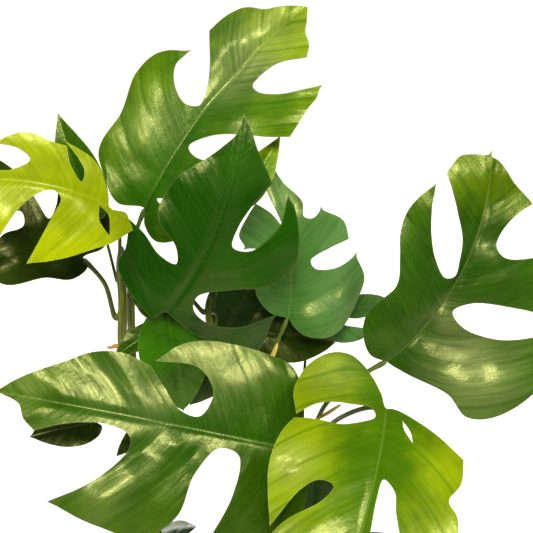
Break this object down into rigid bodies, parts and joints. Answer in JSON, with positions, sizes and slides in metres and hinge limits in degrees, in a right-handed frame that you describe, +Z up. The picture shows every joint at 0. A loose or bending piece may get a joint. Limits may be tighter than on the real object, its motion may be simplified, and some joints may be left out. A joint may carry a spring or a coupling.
{
  "type": "potted live plant",
  "caption": "Climbing houseplant with glossy, deeply split leaves on slender stalks, rooted in a plain tapered clay pot that stands on a flat base.",
  "frame": {"origin": "centre of the pot's flat underside", "axes": "+Z up through the pot's axis, -Y the front of the plant, +X its right-hand side seen from the front"},
  "size_m": [0.3972, 0.3196, 0.5786],
  "materials": {
    "pot": "matt unglazed fired clay",
    "soil": "damp bark and peat potting mix",
    "vine": "smooth green plant stem",
    "stalk": "smooth green leaf stalk",
    "aerial_root": "matt orange-brown root",
    "sheath": "dry papery leaf sheath",
    "leaf_bright": "glossy yellow-green leaf",
    "leaf_lime": "glossy young lime leaf",
    "leaf_mid": "glossy mid-green leaf",
    "leaf_deep": "glossy deep green leaf",
    "leaf_dark": "dark green leaf",
    "leaf_grey": "satin grey-green leaf",
    "leaf_shade": "dull blue-green leaf"
  },
  "bodies": {
    "root": {"aerial_root_centre": "aerial_root", "aerial_root_left": "aerial_root", "leaf_broad": "leaf_mid", "leaf_centre": "leaf_deep", "leaf_crown": "leaf_bright", "leaf_glossy": "leaf_dark", "leaf_grey": "leaf_grey", "leaf_grey_small": "leaf_grey", "leaf_hanging": "leaf_mid", "leaf_inner_dark": "leaf_shade", "leaf_inner_left": "leaf_mid", "leaf_left_back": "leaf_dark", "leaf_left_top": "leaf_mid", "leaf_lime": "leaf_lime", "leaf_lime_back": "leaf_bright", "leaf_low_back": "leaf_dark", "leaf_low_back_left": "leaf_mid", "leaf_low_front": "leaf_deep", "leaf_low_left": "leaf_deep", "leaf_low_right": "leaf_mid", "leaf_right": "leaf_deep", "leaf_shaded": "leaf_shade", "leaf_small_left": "leaf_mid", "leaf_under_left": "leaf_dark", "leaf_under_lime": "leaf_shade", "leaf_under_mid": "leaf_dark", "leaf_young": "leaf_lime", "pot": "pot", "sheath_grey": "sheath", "sheath_right": "sheath", "soil": "soil", "stalk_broad": "stalk", "stalk_centre": "stalk", "stalk_crown": "stalk", "stalk_glossy": "stalk", "stalk_grey": "stalk", "stalk_grey_small": "stalk", "stalk_hanging": "stalk", "stalk_inner_dark": "stalk", "stalk_inner_left": "stalk", "stalk_left_back": "stalk", "stalk_left_top": "stalk", "stalk_lime": "stalk", "stalk_lime_back": "stalk", "stalk_low_back": "stalk", "stalk_low_back_left": "stalk", "stalk_low_front": "stalk", "stalk_low_left": "stalk", "stalk_low_right": "stalk", "stalk_right": "stalk", "stalk_shaded": "stalk", "stalk_small_left": "stalk", "stalk_under_left": "stalk", "stalk_under_lime": "stalk", "stalk_under_mid": "stalk", "stalk_young": "stalk", "vine_back": "vine", "vine_centre": "vine", "vine_left": "vine", "vine_right": "vine"}
  },
  "joints": []
}
